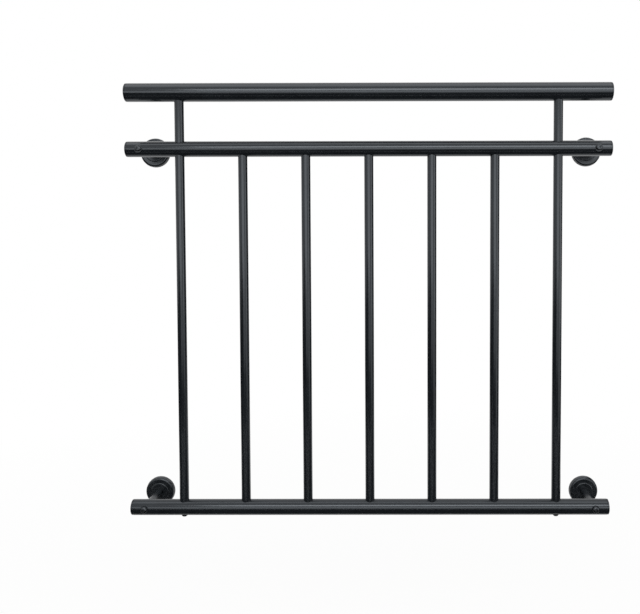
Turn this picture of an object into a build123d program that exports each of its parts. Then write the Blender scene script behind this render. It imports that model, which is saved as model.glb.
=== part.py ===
"""Juliet balcony railing of round steel tube, carried off a wall on four standoff brackets.

Frame: the origin is the centre of the lower left wall flange, on its wall face.
+X runs along the rails to the right as seen from outside, +Y goes into the wall, +Z is up.
"""

import os
from math import sqrt

from build123d import *

# Overall layout, in millimetres
rail_length = 1000.0  # handrail and both rails, over their end caps
overall_height = 900.0  # underside of the lower rail to the top of the handrail
handrail_rise = 116.0  # upper rail's axis to the handrail's axis
bar_count = 7  # the outer two are posts, the others are balusters
bar_pitch = 130.0
bracket_inset = 30.0  # end of a rail to the bracket's axis
wall_distance = 98.0  # wall face to the axis of the rails

# Tube sections
handrail_od = 38.0
handrail_wall = 1.5
rail_od = 32.0
rail_wall = 1.5
bar_od = 19.0
bar_wall = 1.2

# End caps: a crowned disc as wide as its tube, with a spigot driven into the bore
cap_rim = 4.6  # how far a cap stands out of its tube
cap_crown = 0.8
cap_edge = 1.0
cap_inset = 0.25  # step down from the tube's outside to the cap's
seam_width = 0.9  # groove between a tube's end and its cap's rim
seam_depth = 0.8
spigot_length = 14.0
spigot_wall = 1.5

# Post foot: a threaded plug in the tube, held by a screw from under the lower rail
plug_length = 20.0
foot_thread_d = 6.0
foot_screw_reach = 18.0  # thread inside the plug
foot_head_d = 12.0
foot_head_height = 3.3
foot_socket = 4.0  # across the flats
foot_socket_depth = 2.0

# Wall bracket: round standoff, welded flange, cover rosette
standoff_od = 16.0
flange_thickness = 4.0
flange_edge = 0.6
flange_hole_count = 3
flange_hole_edge = 9.5  # centre of a wall screw's hole to the flange's edge
flange_hole_d = 6.5
flange_sink_d = 11.0
rosette_od = 63.0
rosette_skin = 1.6
rim_height = 5.0  # plain rim next to the wall
rim_round = 0.8
groove_width = 0.8
groove_depth = 1.2
dome_inset = 0.6  # step in from the rim to the rounded front
dome_height = 11.8
dome_round = 4.5
dome_ledge = 6.4  # flat ring between the rounded edge and the hub
hub_height = 14.0
hub_round = 2.0

# Bracket screw: button head on a saddle washer, through the rail into the standoff
bracket_thread_d = 8.0
bracket_screw_reach = 18.0  # thread inside the standoff
bracket_head_d = 14.0
bracket_head_height = 4.4
bracket_socket = 5.0  # across the flats
bracket_socket_depth = 2.6
washer_od = 15.5
washer_crown = 1.0  # thickness on the rail's crest

# Clearances
bar_fit = 0.2  # between a bar and the hole it passes through, all round
seat_gap = 0.2  # between a seated end or saddle and the tube under it
screw_fit = 0.25  # between a screw and a drilled hole, all round
thread_fit = 0.05  # between a screw and its thread's bore, all round
bore_fit = 0.15  # between a cap or rosette and the piece it slides on
cover_fit = 0.25  # between a rosette's inside and the flange it covers, all round

# Places worked out from the sizes above
rail_y = -wall_distance
rail_left = -bracket_inset
rail_right = rail_left + rail_length
rail_middle = (rail_left + rail_right) / 2
bracket_span = rail_length - 2 * bracket_inset
lower_z = 0.0
handrail_z = lower_z - rail_od / 2 + overall_height - handrail_od / 2
upper_z = handrail_z - handrail_rise
bar_xs = [rail_middle + (i - (bar_count - 1) / 2) * bar_pitch for i in range(bar_count)]
post_xs = [bar_xs[0], bar_xs[-1]]
baluster_xs = bar_xs[1:-1]
rail_bore = rail_od / 2 - rail_wall
handrail_bore = handrail_od / 2 - handrail_wall
bar_hole = bar_od / 2 + bar_fit
bracket_hole = bracket_thread_d / 2 + screw_fit
foot_hole = foot_thread_d / 2 + screw_fit
cover_bore = rosette_od / 2 - groove_depth - rosette_skin
dome_radius = rosette_od / 2 - dome_inset
hub_radius = dome_radius - dome_round - dome_ledge
flange_od = 2 * (cover_bore - cover_fit)
flange_hole_circle = flange_od - 2 * flange_hole_edge

# A square-cut bar end meets the round bore of its rail beside the bar's widest line
rail_seat = sqrt(rail_bore**2 - (bar_od / 2) ** 2) - seat_gap
handrail_seat = sqrt(handrail_bore**2 - (bar_od / 2) ** 2) - seat_gap
bar_foot_z = lower_z - rail_seat
post_top_z = handrail_z + handrail_seat
baluster_top_z = upper_z - rail_bore / 2

pieces = {}


def tube_section(outer, wall, y, z):
    """Ring section of a tube that runs along X, starting behind its left end cap."""
    with BuildSketch(Plane.YZ.offset(rail_left + cap_rim)) as section:
        with Locations((y, z)):
            Circle(outer / 2)
            Circle(outer / 2 - wall, mode=Mode.SUBTRACT)
    return section.sketch


def upright_holes(xs, z, radius):
    """Circles on a rail's axis plane, for holes drilled up or down from there."""
    with BuildSketch(Plane.XY.offset(z)) as holes:
        with Locations(*[(x, rail_y) for x in xs]):
            Circle(radius)
    return holes.sketch


def bracket_holes(z):
    """Circles on the rails' upright axis plane, for the bracket screws."""
    with BuildSketch(Plane.XZ.offset(-rail_y)) as holes:
        with Locations((0, z), (bracket_span, z)):
            Circle(bracket_hole)
    return holes.sketch


# Handrail: round tube with two holes in its underside for the posts
with BuildPart() as handrail:
    extrude(tube_section(handrail_od, handrail_wall, rail_y, handrail_z), amount=rail_length - 2 * cap_rim)
    extrude(upright_holes(post_xs, handrail_z, bar_hole), amount=-handrail_od, mode=Mode.SUBTRACT)
pieces["handrail"] = handrail.part

# Upper rail: the posts pass right through it, the balusters end inside it
with BuildPart() as upper_rail:
    extrude(tube_section(rail_od, rail_wall, rail_y, upper_z), amount=rail_length - 2 * cap_rim)
    extrude(upright_holes(bar_xs, upper_z, bar_hole), amount=-rail_od, mode=Mode.SUBTRACT)
    extrude(upright_holes(post_xs, upper_z, bar_hole), amount=rail_od, mode=Mode.SUBTRACT)
    extrude(bracket_holes(upper_z), amount=rail_od, both=True, mode=Mode.SUBTRACT)
pieces["upper_rail"] = upper_rail.part

# Lower rail: every bar stands in it, and the foot screws come up from below
with BuildPart() as lower_rail:
    extrude(tube_section(rail_od, rail_wall, rail_y, lower_z), amount=rail_length - 2 * cap_rim)
    extrude(upright_holes(bar_xs, lower_z, bar_hole), amount=rail_od, mode=Mode.SUBTRACT)
    extrude(upright_holes(post_xs, lower_z, foot_hole), amount=-rail_od, mode=Mode.SUBTRACT)
    extrude(bracket_holes(lower_z), amount=rail_od, both=True, mode=Mode.SUBTRACT)
pieces["lower_rail"] = lower_rail.part


def end_cap(end, outer, bore, z):
    """Crowned cap for one end of a tube: end is -1 on the left and 1 on the right."""
    mouth = Vector(rail_left + cap_rim if end < 0 else rail_right - cap_rim, rail_y, z)
    half = Plane(mouth, x_dir=(0, 0, 1), z_dir=(0, end, 0))  # local x is the radius, local y points out of the tube
    spigot = bore - bore_fit
    disc = outer / 2 - cap_inset
    corner = disc - cap_edge  # where the rounded edge meets the crown
    shoulder = cap_rim - cap_crown
    crown_radius = (corner**2 + cap_crown**2) / (2 * cap_crown)  # a sphere centred on the tube's axis
    halfway = cap_rim - crown_radius + sqrt(crown_radius**2 - (corner / 2) ** 2)
    with BuildPart() as cap:
        with BuildSketch(half):
            with BuildLine():
                Polyline(
                    (0, cap_rim),
                    (0, -spigot_wall),
                    (spigot - spigot_wall, -spigot_wall),
                    (spigot - spigot_wall, -spigot_length),
                    (spigot, -spigot_length),
                    (spigot, 0),
                    (disc - seam_depth, 0),
                    (disc - seam_depth, seam_width),
                    (disc, seam_width),
                    (disc, shoulder - cap_edge),
                )
                ThreePointArc(
                    (disc, shoulder - cap_edge),
                    (corner + cap_edge * sqrt(0.5), shoulder - cap_edge * (1 - sqrt(0.5))),
                    (corner, shoulder),
                )
                ThreePointArc((corner, shoulder), (corner / 2, halfway), (0, cap_rim))
            make_face()
        revolve(axis=Axis(mouth, half.y_dir))
    return cap.part


tubes = {
    "handrail": (handrail_od, handrail_bore, handrail_z),
    "upper_rail": (rail_od, rail_bore, upper_z),
    "lower_rail": (rail_od, rail_bore, lower_z),
}
for tube_name, (outer, bore, z) in tubes.items():
    pieces[f"{tube_name}_cap_left"] = end_cap(-1, outer, bore, z)
    pieces[f"{tube_name}_cap_right"] = end_cap(1, outer, bore, z)


def button_head(bearing, head_d, head_height, thread_d, shank, socket, socket_depth):
    """Socket button-head screw: the head rises along the bearing plane's normal, the shank goes the other way."""
    half = Plane(bearing.origin, x_dir=bearing.x_dir, z_dir=bearing.x_dir.cross(bearing.z_dir))
    crown = socket / 2 + head_height / 4  # flat left round the socket
    with BuildPart() as screw:
        with BuildSketch(half):
            with BuildLine():
                Polyline(
                    (crown, head_height),
                    (0, head_height),
                    (0, -shank),
                    (thread_d / 2, -shank),
                    (thread_d / 2, 0),
                    (head_d / 2, 0),
                    (head_d / 2, head_height / 8),
                )
                ThreePointArc(
                    (head_d / 2, head_height / 8),
                    (crown + (head_d / 2 - crown) * 0.68, head_height * 0.68),
                    (crown, head_height),
                )
            make_face()
        revolve(axis=Axis(bearing.origin, bearing.z_dir))
        with BuildSketch(bearing.offset(head_height)):
            RegularPolygon(socket / 2, 6, major_radius=False)
        extrude(amount=-socket_depth, mode=Mode.SUBTRACT)
    return screw.part


# Posts: tubes from the lower rail, through the upper rail, into the handrail, with a plug in the foot
for side, x in zip(("left", "right"), post_xs):
    with BuildPart() as post:
        with BuildSketch(Plane.XY.offset(bar_foot_z)):
            with Locations((x, rail_y)):
                Circle(bar_od / 2)
        extrude(amount=post_top_z - bar_foot_z)
        with BuildSketch(Plane.XY.offset(post_top_z)):
            with Locations((x, rail_y)):
                Circle(bar_od / 2 - bar_wall)
        extrude(amount=-(post_top_z - bar_foot_z - plug_length), mode=Mode.SUBTRACT)
        with BuildSketch(Plane.XY.offset(bar_foot_z)):
            with Locations((x, rail_y)):
                Circle(foot_thread_d / 2 + thread_fit)
        extrude(amount=plug_length, mode=Mode.SUBTRACT)
    pieces[f"post_{side}"] = post.part

    under_rail = Plane((x, rail_y, lower_z - rail_od / 2 - seat_gap), x_dir=(1, 0, 0), z_dir=(0, 0, -1))
    shank = bar_foot_z - under_rail.origin.Z + foot_screw_reach
    pieces[f"post_screw_{side}"] = button_head(
        under_rail, foot_head_d, foot_head_height, foot_thread_d, shank, foot_socket, foot_socket_depth
    )

# Balusters: plain tubes caught between the two rails
for number, x in enumerate(baluster_xs, start=1):
    with BuildPart() as baluster:
        with BuildSketch(Plane.XY.offset(bar_foot_z)):
            with Locations((x, rail_y)):
                Circle(bar_od / 2)
                Circle(bar_od / 2 - bar_wall, mode=Mode.SUBTRACT)
        extrude(amount=baluster_top_z - bar_foot_z)
    pieces[f"baluster_{number}"] = baluster.part


def rail_crest(plane, gap):
    """Cuts the rail's round outside, with a gap, out of the piece being built."""
    with Locations(plane.origin + plane.z_dir * wall_distance):
        Cylinder(rail_od / 2 + gap, rail_od * 2, rotation=(0, 90, 0), mode=Mode.SUBTRACT)


def wall_flange(wall):
    """Round plate on the wall, with countersunk holes for the wall screws."""
    with BuildPart() as flange:
        with BuildSketch(wall):
            Circle(flange_od / 2)
        extrude(amount=flange_thickness)
        chamfer(flange.edges().sort_by(Axis.Y)[0], flange_edge)
        with Locations(wall.offset(flange_thickness)):
            with PolarLocations(flange_hole_circle / 2, flange_hole_count, start_angle=90):
                CounterSinkHole(flange_hole_d / 2, flange_sink_d / 2)
    return flange.part


def standoff(wall):
    """Round bar from the flange to the rail, its end coped to the rail and bored for the bracket screw."""
    crest = wall_distance - rail_od / 2
    with BuildPart() as bar:
        with BuildSketch(wall.offset(flange_thickness)):
            Circle(standoff_od / 2)
        extrude(amount=wall_distance - flange_thickness)
        rail_crest(wall, seat_gap)
        with BuildSketch(wall.offset(crest)):
            Circle(bracket_thread_d / 2 + thread_fit)
        extrude(amount=rail_od, mode=Mode.SUBTRACT)
        with BuildSketch(wall.offset(crest)):
            Circle(bracket_thread_d / 2 + thread_fit)
        extrude(amount=-bracket_screw_reach - seat_gap, mode=Mode.SUBTRACT)
    return bar.part


def cover_rosette(wall):
    """Cover in round steps: a plain rim, a fine groove, a rounded front and a hub that slides on the standoff."""
    half = Plane(wall.origin, x_dir=wall.x_dir, z_dir=wall.x_dir.cross(wall.z_dir))
    rim_radius = rosette_od / 2
    bore = standoff_od / 2 + bore_fit
    front = rim_height + groove_width
    corners = [
        (rim_radius, rim_height, rim_round),
        (dome_radius, dome_height, dome_round),
        (hub_radius, hub_height, hub_round),
    ]
    with BuildPart() as rosette:
        with BuildSketch(half):
            with BuildLine():
                for radius, height, rounding in corners:
                    near = rounding * (1 - sqrt(0.5))
                    ThreePointArc(
                        (radius, height - rounding), (radius - near, height - near), (radius - rounding, height)
                    )
                Polyline(
                    (rim_radius - rim_round, rim_height),
                    (rim_radius - groove_depth, rim_height),
                    (rim_radius - groove_depth, front),
                    (dome_radius, front),
                    (dome_radius, dome_height - dome_round),
                )
                Polyline(
                    (dome_radius - dome_round, dome_height),
                    (hub_radius, dome_height),
                    (hub_radius, hub_height - hub_round),
                )
                Polyline(
                    (hub_radius - hub_round, hub_height),
                    (bore, hub_height),
                    (bore, hub_height - rosette_skin),
                    (hub_radius - rosette_skin, hub_height - rosette_skin),
                    (hub_radius - rosette_skin, dome_height - rosette_skin),
                    (dome_radius - dome_round, dome_height - rosette_skin),
                    (cover_bore, dome_height - dome_round),
                    (cover_bore, seat_gap),
                    (rim_radius, seat_gap),
                    (rim_radius, rim_height - rim_round),
                )
            make_face()
        revolve(axis=Axis(wall.origin, wall.z_dir))
    return rosette.part


def saddle_washer(wall):
    """Washer hollowed to the rail's front on one side, flat under the screw head on the other."""
    with BuildPart() as washer:
        with BuildSketch(wall.offset(wall_distance)):
            Circle(washer_od / 2)
            Circle(bracket_hole, mode=Mode.SUBTRACT)
        extrude(amount=rail_od / 2 + seat_gap + washer_crown)
        rail_crest(wall, seat_gap)
    return washer.part


# Brackets: one at each end of both rails
for level, z in (("lower", lower_z), ("upper", upper_z)):
    for side, x in (("left", 0.0), ("right", bracket_span)):
        place = f"{level}_{side}"
        wall = Plane((x, 0, z), x_dir=(1, 0, 0), z_dir=(0, -1, 0))  # local z points away from the wall
        head_seat = wall.offset(wall_distance + rail_od / 2 + seat_gap + washer_crown)
        pieces[f"wall_flange_{place}"] = wall_flange(wall)
        pieces[f"standoff_{place}"] = standoff(wall)
        pieces[f"cover_rosette_{place}"] = cover_rosette(wall)
        pieces[f"saddle_washer_{place}"] = saddle_washer(wall)
        pieces[f"bracket_screw_{place}"] = button_head(
            head_seat,
            bracket_head_d,
            bracket_head_height,
            bracket_thread_d,
            rail_od + seat_gap + washer_crown + bracket_screw_reach,
            bracket_socket,
            bracket_socket_depth,
        )

os.makedirs("parts", exist_ok=True)
for name, part in pieces.items():
    part.label = name
    export_step(part, f"parts/{name}.step")
print(f"{len(pieces)} pieces, rails {rail_length:.0f} long, {overall_height:.0f} high, upper rail at {upper_z:.1f}")
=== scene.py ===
import math

import bpy
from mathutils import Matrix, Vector

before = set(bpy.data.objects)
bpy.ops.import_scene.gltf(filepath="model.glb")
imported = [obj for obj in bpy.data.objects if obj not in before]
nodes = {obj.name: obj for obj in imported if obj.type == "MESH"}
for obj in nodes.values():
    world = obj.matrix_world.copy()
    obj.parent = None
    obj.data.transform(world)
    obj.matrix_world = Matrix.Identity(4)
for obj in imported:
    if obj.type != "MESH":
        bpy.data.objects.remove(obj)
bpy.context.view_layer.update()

print("frame loaded:", len(nodes), "pieces")


def hexToLinear(code):
    values = [int(code[i:i + 2], 16) / 255 for i in (1, 3, 5)]
    linear = [v / 12.92 if v <= 0.04045 else ((v + 0.055) / 1.055) ** 2.4 for v in values]
    return (*linear, 1.0)


def addNode(tree, kind, settings=None, links=None):
    node = tree.nodes.new(kind)
    for key, value in (settings or {}).items():
        if isinstance(key, str) and hasattr(node, key):
            setattr(node, key, value)
        else:
            node.inputs[key].default_value = value
    for key, source in (links or {}).items():
        tree.links.new(source, node.inputs[key])
    return node


def newMaterial(name):
    material = bpy.data.materials.new(name)
    material.use_nodes = True
    material.node_tree.nodes.clear()
    return material, material.node_tree


def perMetre(millimetres):
    return 1000.0 / millimetres  # a noise of scale s has features about 1/s metres wide


noiseSpan = (0.3, 0.7)  # nearly all of a noise lies between these values


# Colour runs from dark to light with one noise, roughness from low to high with another
def varySurface(tree, look, tone, fine):
    colour = addNode(tree, "ShaderNodeValToRGB", links={"Fac": tone.outputs["Fac"]})
    for stop, level, shade in zip(colour.color_ramp.elements, noiseSpan, (look["dark"], look["light"])):
        stop.position = level
        stop.color = hexToLinear(shade)
    limits = {
        "From Min": noiseSpan[0],
        "From Max": noiseSpan[1],
        "To Min": look["roughLow"],
        "To Max": look["roughHigh"],
    }
    gloss = addNode(tree, "ShaderNodeMapRange", limits, {"Value": fine.outputs["Fac"]})
    return {"Base Color": colour.outputs["Color"], "Roughness": gloss.outputs["Result"]}


# Polyester powder coat, sprayed and baked on steel tube: near-black anthracite with a semi-gloss skin.
# The eye sees a clear but slightly soft reflection, faint orange peel and hardly any colour change.
powderCoat = {
    "light": "#16191c",
    "dark": "#111316",
    "mottle": {"mm": 60, "detail": 3.0, "roughness": 0.55},
    "peel": {"mm": 6, "detail": 1.0, "roughness": 0.4},  # really about 2 mm, drawn coarser so that it shows
    "grain": {"mm": 1.2, "detail": 2.0, "roughness": 0.6},  # powder grain
    "peelDepth": 0.00002,
    "peelStrength": 0.06,
    "roughLow": 0.12,
    "roughHigh": 0.18,
    "ior": 1.5,
    "tint": "#eff7ff",  # the skin reflects a little cold
}

# The brackets are coated apart from the tubes and bake to a satin skin: the same colour, softer reflections
satinCoat = {**powderCoat, "roughLow": 0.18, "roughHigh": 0.24}
satinPieces = ("standoff", "cover_rosette", "wall_flange")


def makePowderCoat(name, look):
    material, tree = newMaterial(name)
    place = addNode(tree, "ShaderNodeTexCoord").outputs["Object"]
    layers = {}
    for layer in ("mottle", "peel", "grain"):
        size = look[layer]
        settings = {"Scale": perMetre(size["mm"]), "Detail": size["detail"], "Roughness": size["roughness"]}
        layers[layer] = addNode(tree, "ShaderNodeTexNoise", settings, {"Vector": place})
    links = varySurface(tree, look, layers["mottle"], layers["grain"])
    depth = {"Strength": look["peelStrength"], "Distance": look["peelDepth"]}
    skin = addNode(tree, "ShaderNodeBump", depth, {"Height": layers["peel"].outputs["Fac"]})
    links["Normal"] = skin.outputs["Normal"]
    settings = {"Metallic": 0.0, "IOR": look["ior"], "Specular Tint": hexToLinear(look["tint"])}
    coat = addNode(tree, "ShaderNodeBsdfPrincipled", settings, links)
    addNode(tree, "ShaderNodeOutputMaterial", links={"Surface": coat.outputs["BSDF"]})
    return material


# Blackened steel screws: machined heads with a thin dark oxide.
# The eye sees a soft metal sheen, a little lighter than the coat beside it.
blackSteel = {
    "light": "#4a4d50",
    "dark": "#383b3e",
    "turning": {"mm": 0.8, "detail": 2.0},
    "roughLow": 0.28,
    "roughHigh": 0.40,
}


def makeBlackSteel(name, look):
    material, tree = newMaterial(name)
    place = addNode(tree, "ShaderNodeTexCoord").outputs["Object"]
    settings = {"Scale": perMetre(look["turning"]["mm"]), "Detail": look["turning"]["detail"]}
    turning = addNode(tree, "ShaderNodeTexNoise", settings, {"Vector": place})
    links = varySurface(tree, look, turning, turning)
    steel = addNode(tree, "ShaderNodeBsdfPrincipled", {"Metallic": 1.0}, links)
    addNode(tree, "ShaderNodeOutputMaterial", links={"Surface": steel.outputs["BSDF"]})
    return material


coatMaterial = makePowderCoat("anthracitePowderCoat", powderCoat)
satinMaterial = makePowderCoat("satinPowderCoat", satinCoat)
screwMaterial = makeBlackSteel("blackenedSteelScrew", blackSteel)
for name, piece in nodes.items():
    finish = coatMaterial
    if name.startswith(satinPieces):
        finish = satinMaterial
    if "screw" in name:
        finish = screwMaterial
    piece.data.materials.clear()
    piece.data.materials.append(finish)
print("materials on", len(nodes), "pieces")

studioCentre = (0.47, -0.098, 0.43)  # middle of the railing
plainWhite = hexToLinear("#ffffff")


# 1 for rays from the eye, gloss or glass, which see the room as plain white, and 0 for soft light
def seenPlainly(tree):
    ray = addNode(tree, "ShaderNodeLightPath")
    pair = {0: ray.outputs["Is Camera Ray"], 1: ray.outputs["Is Glossy Ray"]}
    seen = addNode(tree, "ShaderNodeMath", {"operation": "MAXIMUM"}, pair)
    pair = {0: seen.outputs[0], 1: ray.outputs["Is Transmission Ray"]}
    return addNode(tree, "ShaderNodeMath", {"operation": "MAXIMUM"}, pair).outputs[0]


# Pale paper floor below the hanging railing: a faint shadow near the middle, plain white further out
paperFloor = {
    "height": -0.34,
    "size": 40.0,
    "colour": "#f4f4f2",
    "glowNear": 0.9,  # share of the floor that is seen as plain white under the railing
    "glowStart": 0.3,  # metres out where that share begins to grow
    "glowFar": 2.2,  # metres out where the floor is wholly white
}


def makeFloor(look):
    half = look["size"] / 2
    x, y, _ = studioCentre
    z = look["height"]
    corners = [(x + a * half, y + b * half, z) for a, b in ((-1, -1), (1, -1), (1, 1), (-1, 1))]
    mesh = bpy.data.meshes.new("studioFloor")
    mesh.from_pydata(corners, [], [(0, 1, 2, 3)])
    floor = bpy.data.objects.new("studioFloor", mesh)
    bpy.context.scene.collection.objects.link(floor)
    material, tree = newMaterial("palePaper")
    paper = addNode(tree, "ShaderNodeBsdfDiffuse", {"Color": hexToLinear(look["colour"])})
    white = addNode(tree, "ShaderNodeEmission", {"Color": plainWhite, "Strength": 1.0})
    place = addNode(tree, "ShaderNodeTexCoord").outputs["Object"]
    spot = addNode(tree, "ShaderNodeVectorMath", {"operation": "DISTANCE", 1: (x, y, z)}, {0: place})
    limits = {
        "From Min": look["glowStart"],
        "From Max": look["glowFar"],
        "To Min": look["glowNear"],
        "To Max": 1.0,
    }
    glow = addNode(tree, "ShaderNodeMapRange", limits, {"Value": spot.outputs["Value"]})
    pair = {0: seenPlainly(tree), 1: glow.outputs["Result"]}
    share = addNode(tree, "ShaderNodeMath", {"operation": "MULTIPLY"}, pair)
    parts = {0: share.outputs[0], 1: paper.outputs[0], 2: white.outputs[0]}
    mixed = addNode(tree, "ShaderNodeMixShader", links=parts)
    addNode(tree, "ShaderNodeOutputMaterial", links={"Surface": mixed.outputs[0]})
    mesh.materials.append(material)


panelFoot = -0.33  # just above the floor


def uprightCorners(start, end, foot, top):
    return [(*start, foot), (*end, foot), (*end, top), (*start, top)]


# Black flags lie on the floor and stand left, right and low behind the lower rail.
# They only show in the gloss, as the dark half of each tube.
floorOutline = [
    (-7.0, -7.0), (-1.3, -7.0), (-0.9, -3.3), (2.2, -3.3), (2.2, -0.6), (5.0, -0.6),
    (5.0, 2.5), (2.1, 2.5), (2.1, -0.05), (-1.2, -0.05), (-1.2, 2.5), (-7.0, 2.5),
]
blackFlags = {
    "colour": "#0c0c0d",
    "places": {
        "floor": [(x, y, panelFoot) for x, y in floorOutline],
        "low": uprightCorners((-0.1, -0.03), (1.04, -0.03), foot=-0.14, top=-0.025),
        "left": uprightCorners((-7.0, -5.0), (-1.5, -5.0), foot=panelFoot, top=0.15),
        "right": uprightCorners((2.6, 0.3), (2.6, 4.0), foot=panelFoot, top=2.2),
    },
}

# A low grey card in front shows as a faint line down the feet of the bars
greyCards = {
    "colour": "#c0c0c0",
    "places": {
        "front": uprightCorners((-0.7, -0.95), (1.7, -0.95), foot=panelFoot, top=-0.08),
    },
}


def hangPanels(name, look):
    material, tree = newMaterial(name)
    cloth = addNode(tree, "ShaderNodeBsdfDiffuse", {"Color": hexToLinear(look["colour"])})
    addNode(tree, "ShaderNodeOutputMaterial", links={"Surface": cloth.outputs[0]})
    for side, corners in look["places"].items():
        mesh = bpy.data.meshes.new(f"{name}_{side}")
        mesh.from_pydata(corners, [], [range(len(corners))])
        mesh.materials.append(material)
        panel = bpy.data.objects.new(f"{name}_{side}", mesh)
        bpy.context.scene.collection.objects.link(panel)
        panel.visible_camera = False
        panel.visible_diffuse = False
        panel.visible_shadow = False
        panel.visible_transmission = False


whiteRoom = {
    "level": 0.62,  # what the white room gives as soft light
}


def makeWorld(look):
    world = bpy.data.worlds.new("whiteStudio")
    bpy.context.scene.world = world
    world.use_nodes = True
    tree = world.node_tree
    tree.nodes.clear()
    limits = {"To Min": look["level"], "To Max": 1.0}
    level = addNode(tree, "ShaderNodeMapRange", limits, {"Value": seenPlainly(tree)})
    strength = {"Strength": level.outputs["Result"]}
    white = addNode(tree, "ShaderNodeBackground", {"Color": plainWhite}, strength)
    addNode(tree, "ShaderNodeOutputWorld", links={"Surface": white.outputs[0]})


# A strip and a wide softbox stand in front, one softbox on the right, and one hangs overhead
lamps = {
    "stripLight": {"place": (0.65, -2.7, 2.0), "size": (2.7, 1.0), "level": 4.0},
    "frontSoftbox": {"place": (0.47, -6.3, 0.72), "size": (7.0, 1.7), "level": 1.65},
    "rightSoftbox": {"place": (4.3, -1.9, 0.9), "size": (1.6, 2.2), "level": 1.5},
    "overheadSoftbox": {"place": (0.47, -0.4, 2.9), "size": (3.2, 1.4), "level": 1.1},
}


def addLamp(name, look):
    lamp = bpy.data.lights.new(name, "AREA")
    lamp.shape = "RECTANGLE"
    lamp.size, lamp.size_y = look["size"]
    lamp.energy = look["level"] * math.pi * lamp.size * lamp.size_y  # level 1 is as bright as white paper
    rig = bpy.data.objects.new(name, lamp)
    rig.location = look["place"]
    rig.rotation_euler = (Vector(studioCentre) - rig.location).to_track_quat("-Z", "Y").to_euler()
    bpy.context.scene.collection.objects.link(rig)


makeFloor(paperFloor)
hangPanels("blackFlag", blackFlags)
hangPanels("greyCard", greyCards)
makeWorld(whiteRoom)
for name, look in lamps.items():
    addLamp(name, look)
print("studio ready")

# Camera: in front of the railing, right of its middle and below the upper rail, looking slightly down
camera = {
    "place": (0.5345, -1.6609, 0.6138),
    "turn": (87.6, 0.124, 0.176),  # degrees
    "lens": 42.48,
    "sensorWidth": 36.0,
    "shift": (-0.1216, -0.0953),
}
eye = bpy.data.cameras.new("frontCamera")
eye.sensor_width = camera["sensorWidth"]
eye.lens = camera["lens"]
eye.shift_x, eye.shift_y = camera["shift"]
eyeRig = bpy.data.objects.new("frontCamera", eye)
eyeRig.location = camera["place"]
eyeRig.rotation_euler = [math.radians(a) for a in camera["turn"]]
bpy.context.scene.collection.objects.link(eyeRig)
bpy.context.scene.camera = eyeRig
bpy.context.scene.view_settings.view_transform = "Standard"
print("camera ready")
